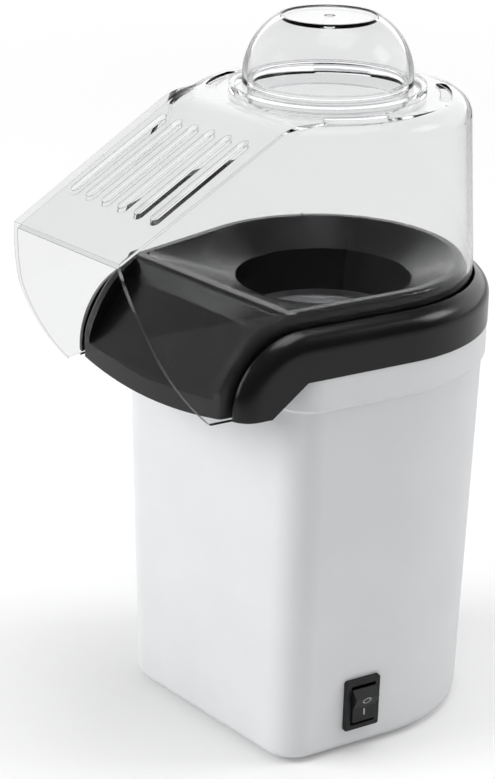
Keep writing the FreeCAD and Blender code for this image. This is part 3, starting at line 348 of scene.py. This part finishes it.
def ring_mark(shape):
    # Flat ring with a rounded section.
    around = 48
    section = 8
    rings = []
    for step in range(around):
        turn = 2 * math.pi * step / around
        ring = []
        for corner in range(section):
            angle = 2 * math.pi * corner / section
            radius = ring_radius + ring_stroke * math.cos(angle)
            height = mark_thick * math.sin(angle)
            ring.append(shape.verts.new((radius * math.cos(turn), radius * math.sin(turn), height)))
        rings.append(ring)
    for step in range(around):
        near, far = rings[step], rings[(step + 1) % around]
        for corner in range(section):
            following = (corner + 1) % section
            shape.faces.new((near[corner], far[corner], far[following], near[following]))


def bar_mark(shape):
    # Upright bar with round ends.
    steps = 10
    outline = []
    for end in (1, -1):
        for step in range(steps + 1):
            turn = math.pi * step / steps
            x = bar_half_width * math.cos(turn) * end
            y = end * (bar_half_height - bar_half_width + bar_half_width * math.sin(turn))
            outline.append((x, y))
    low = [shape.verts.new((x, y, -mark_thick)) for x, y in outline]
    high = [shape.verts.new((x, y, mark_thick)) for x, y in outline]
    shape.faces.new(high)
    shape.faces.new(list(reversed(low)))
    count = len(outline)
    for index in range(count):
        following = (index + 1) % count
        shape.faces.new((low[index], low[following], high[following], high[index]))


def add_marks():
    look = looks["mark_print"]
    add_piece("mark_off", ring_mark, rocker_face(mark_reach), look, "switch_rocker")
    add_piece("mark_on", bar_mark, rocker_face(-mark_reach), look, "switch_rocker")


def ray_kinds(tree):
    # Two switches, each 0 or 1: seen by the camera or through clear pieces, and seen in a reflection.
    path = tree.nodes.new("ShaderNodeLightPath")
    reflected = maths(tree, "GREATER_THAN", path.outputs["Glossy Depth"], 0.5)
    shown = maths(tree, "MAXIMUM", path.outputs["Is Camera Ray"], path.outputs["Is Transmission Ray"])
    return maths(tree, "SUBTRACT", shown, maths(tree, "MULTIPLY", shown, reflected)), reflected


def make_floor_look():
    # Pale floor that keeps shadows and is lifted to white where it is looked at.
    tree, shader = start_material("floor")
    set_inputs(shader, floor_surface)
    cloud = remap(tree, noise(tree, floor_patch), 0, 1)
    speck = [value * floor_speck for value in floor_colour]
    tree.links.new(colour_between(tree, cloud, floor_colour, speck), shader.inputs["Base Color"])
    direct, _ = ray_kinds(tree)
    place = tree.nodes.new("ShaderNodeTexCoord")
    distance = tree.nodes.new("ShaderNodeVectorMath")
    distance.operation = "LENGTH"
    tree.links.new(place.outputs["Object"], distance.inputs[0])
    lift = remap(tree, distance.outputs["Value"], floor_lift_near, floor_lift_far, floor_near, floor_far)
    tree.links.new(maths(tree, "MULTIPLY", lift, direct), shader.inputs["Emission Strength"])


def add_floor():
    mesh = bpy.data.meshes.new("floor")
    corners = [(-floor_half, -floor_half, 0), (floor_half, -floor_half, 0),
               (floor_half, floor_half, 0), (-floor_half, floor_half, 0)]
    mesh.from_pydata(corners, [], [(0, 1, 2, 3)])
    mesh.materials.append(looks["floor"])
    floor = bpy.data.objects.new("floor", mesh)
    bpy.context.scene.collection.objects.link(floor)


def add_world():
    # Even light all round, white where it is looked at; reflections show a pale backdrop in a dim room.
    world = bpy.data.worlds.new("studio")
    world.use_nodes = True
    bpy.context.scene.world = world
    tree = world.node_tree
    background = tree.nodes["Background"]
    background.inputs["Color"].default_value = (1, 1, 1, 1)
    direct, reflected = ray_kinds(tree)
    place = tree.nodes.new("ShaderNodeTexCoord")
    parts = tree.nodes.new("ShaderNodeSeparateXYZ")
    tree.links.new(place.outputs["Generated"], parts.inputs[0])
    towards = tree.nodes.new("ShaderNodeVectorMath")
    towards.operation = "DOT_PRODUCT"
    towards.inputs[1].default_value = backdrop_side
    tree.links.new(place.outputs["Generated"], towards.inputs[0])
    walls = remap(tree, towards.outputs["Value"], room_light, backdrop_light, *backdrop_fade)
    ceiling = remap(tree, parts.outputs["Z"], 0, 1, *ceiling_fade)
    mirrored = tree.nodes.new("ShaderNodeMix")
    mirrored.inputs["B"].default_value = ceiling_light
    tree.links.new(ceiling, mirrored.inputs["Factor"])
    tree.links.new(walls, mirrored.inputs["A"])
    lit = tree.nodes.new("ShaderNodeMix")
    lit.inputs["A"].default_value = world_light
    tree.links.new(reflected, lit.inputs["Factor"])
    tree.links.new(mirrored.outputs["Result"], lit.inputs["B"])
    shown = tree.nodes.new("ShaderNodeMix")
    shown.inputs["B"].default_value = 1.0
    tree.links.new(direct, shown.inputs["Factor"])
    tree.links.new(lit.outputs["Result"], shown.inputs["A"])
    tree.links.new(shown.outputs["Result"], background.inputs["Strength"])


def add_lamp(name, place, target, size, power, mirrored=True):
    # Square lamp facing the target; one that isn't mirrored leaves no glare on glossy pieces.
    lamp = bpy.data.lights.new(name, "AREA")
    lamp.shape = "SQUARE"
    lamp.size = size
    lamp.energy = power
    holder = bpy.data.objects.new(name, lamp)
    holder.location = place
    holder.visible_glossy = mirrored
    holder.rotation_mode = "QUATERNION"
    holder.rotation_quaternion = (Vector(target) - Vector(place)).to_track_quat("-Z", "Y")
    bpy.context.scene.collection.objects.link(holder)


def add_lamps():
    middle = (cad_low + cad_high) / 2
    add_lamp("key", key_place, middle, key_size, key_power, mirrored=False)
    add_lamp("top", top_place, middle, top_size, top_power)
    add_lamp("rim", rim_place, middle, rim_size, rim_power)


def add_camera():
    lens = bpy.data.cameras.new("camera")
    lens.lens = camera_lens
    lens.sensor_width = camera_sensor
    lens.sensor_fit = "AUTO"
    holder = bpy.data.objects.new("camera", lens)
    turn = Matrix((camera_right, camera_up, camera_back)).transposed()
    holder.matrix_world = Matrix.Translation(camera_place) @ turn.to_4x4()
    bpy.context.scene.collection.objects.link(holder)
    bpy.context.scene.camera = holder


make_plastics()
make_metals()
make_minerals()
make_floor_look()
dress_nodes()
add_marks()
add_camera()
add_floor()
add_world()
add_lamps()
bpy.context.scene.view_settings.view_transform = "Standard"
